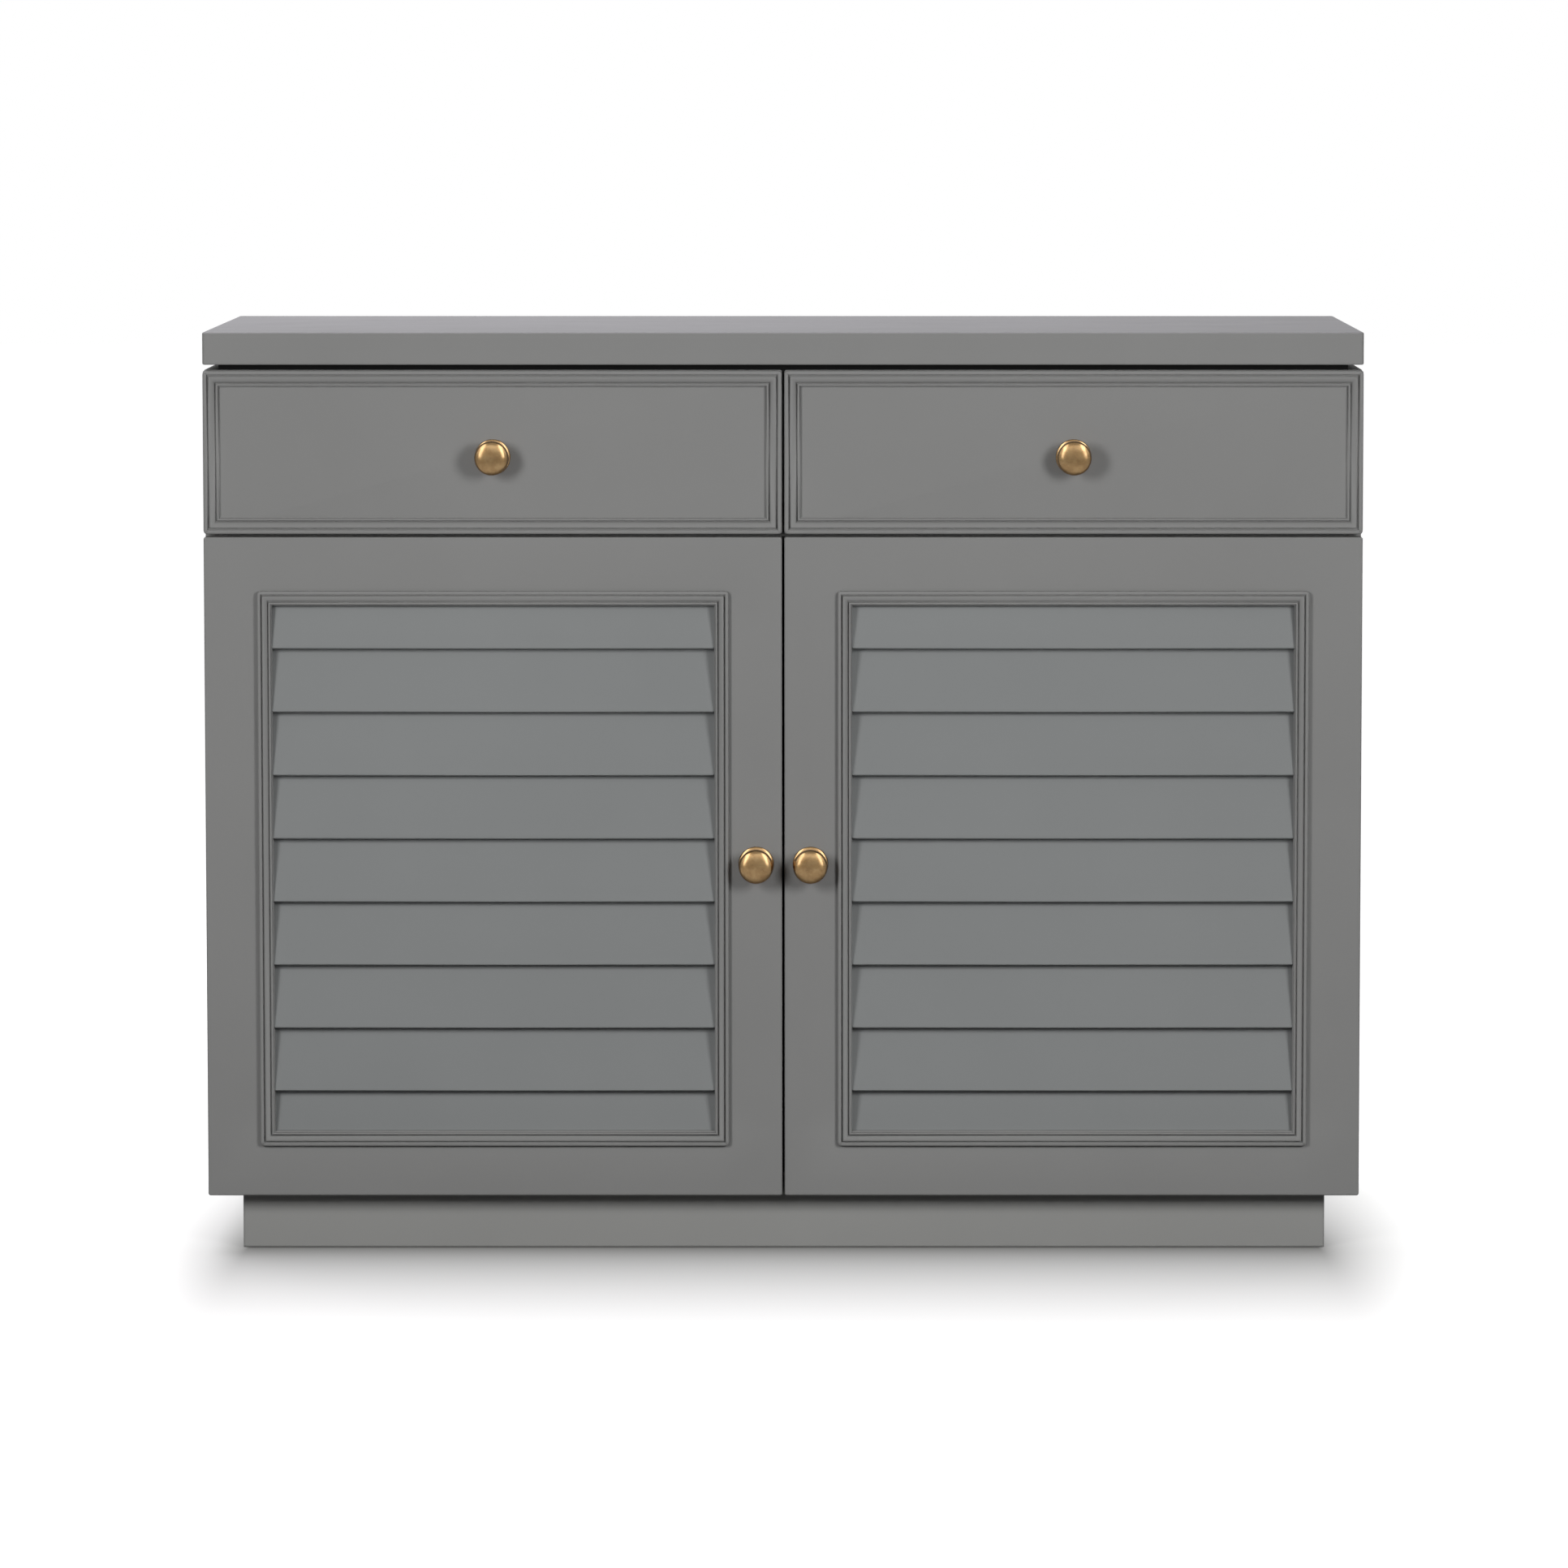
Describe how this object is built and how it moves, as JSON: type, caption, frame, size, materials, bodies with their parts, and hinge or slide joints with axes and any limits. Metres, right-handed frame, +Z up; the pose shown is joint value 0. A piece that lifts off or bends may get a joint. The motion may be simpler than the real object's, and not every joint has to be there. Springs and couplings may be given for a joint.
{
  "type": "louvred door cabinet",
  "caption": "Low painted cabinet with a plain top, a row of moulded drawers over louvred doors, turned brass knobs and a plinth that stands back.",
  "frame": {"origin": "on the floor, under the middle of the bounding box with the knobs included", "axes": "+X to the viewer's right along the width, +Y from the doors to the back, +Z up"},
  "size_m": [1, 0.428, 0.8],
  "materials": {
    "grey_paint": "mid-grey satin paint over sanded wood",
    "pale_wood": "clear-lacquered pale wood",
    "back_board": "painted thin board",
    "aged_brass": "softly aged, turned and waxed",
    "hinge_steel": "nickel plated"
  },
  "bodies": {
    "carcass": {"top_panel": "grey_paint", "sub_top_panel": "grey_paint", "left_side_panel": "grey_paint", "right_side_panel": "grey_paint", "bottom_panel": "grey_paint", "back_panel": "back_board", "centre_divider": "grey_paint", "drawer_shelf": "grey_paint", "cupboard_shelf": "grey_paint", "plinth_frame": "grey_paint", "left_drawer_outer_runner": "pale_wood", "left_drawer_inner_runner": "pale_wood", "left_upper_hinge_arm": "hinge_steel", "left_lower_hinge_arm": "hinge_steel", "right_drawer_outer_runner": "pale_wood", "right_drawer_inner_runner": "pale_wood", "right_upper_hinge_arm": "hinge_steel", "right_lower_hinge_arm": "hinge_steel"},
    "left_drawer": {"left_drawer_front": "grey_paint", "left_drawer_moulding": "grey_paint", "left_drawer_outer_side": "pale_wood", "left_drawer_inner_side": "pale_wood", "left_drawer_back": "pale_wood", "left_drawer_bottom": "pale_wood", "left_drawer_knob": "aged_brass"},
    "left_door": {"left_door_frame": "grey_paint", "left_door_moulding": "grey_paint", "left_door_slat_1": "grey_paint", "left_door_slat_2": "grey_paint", "left_door_slat_3": "grey_paint", "left_door_slat_4": "grey_paint", "left_door_slat_5": "grey_paint", "left_door_slat_6": "grey_paint", "left_door_slat_7": "grey_paint", "left_door_slat_8": "grey_paint", "left_door_slat_9": "grey_paint", "left_door_knob": "aged_brass", "left_upper_hinge_cup": "hinge_steel", "left_lower_hinge_cup": "hinge_steel"},
    "right_drawer": {"right_drawer_front": "grey_paint", "right_drawer_moulding": "grey_paint", "right_drawer_outer_side": "pale_wood", "right_drawer_inner_side": "pale_wood", "right_drawer_back": "pale_wood", "right_drawer_bottom": "pale_wood", "right_drawer_knob": "aged_brass"},
    "right_door": {"right_door_frame": "grey_paint", "right_door_moulding": "grey_paint", "right_door_slat_1": "grey_paint", "right_door_slat_2": "grey_paint", "right_door_slat_3": "grey_paint", "right_door_slat_4": "grey_paint", "right_door_slat_5": "grey_paint", "right_door_slat_6": "grey_paint", "right_door_slat_7": "grey_paint", "right_door_slat_8": "grey_paint", "right_door_slat_9": "grey_paint", "right_door_knob": "aged_brass", "right_upper_hinge_cup": "hinge_steel", "right_lower_hinge_cup": "hinge_steel"}
  },
  "joints": [
    {"name": "left_door_swing", "type": "hinge", "parent": "carcass", "child": "left_door", "pos_m": [-0.4925, -0.1745, 0.33675], "axis": [0, 0, -1], "range_deg": [0, 95]},
    {"name": "left_drawer_slide", "type": "slide", "parent": "carcass", "child": "left_drawer", "axis": [0, -1, 0], "range_m": [0, 0.25]},
    {"name": "right_door_swing", "type": "hinge", "parent": "carcass", "child": "right_door", "pos_m": [0.4925, -0.1745, 0.33675], "axis": [0, 0, 1], "range_deg": [0, 95]},
    {"name": "right_drawer_slide", "type": "slide", "parent": "carcass", "child": "right_drawer", "axis": [0, -1, 0], "range_m": [0, 0.25]}
  ]
}
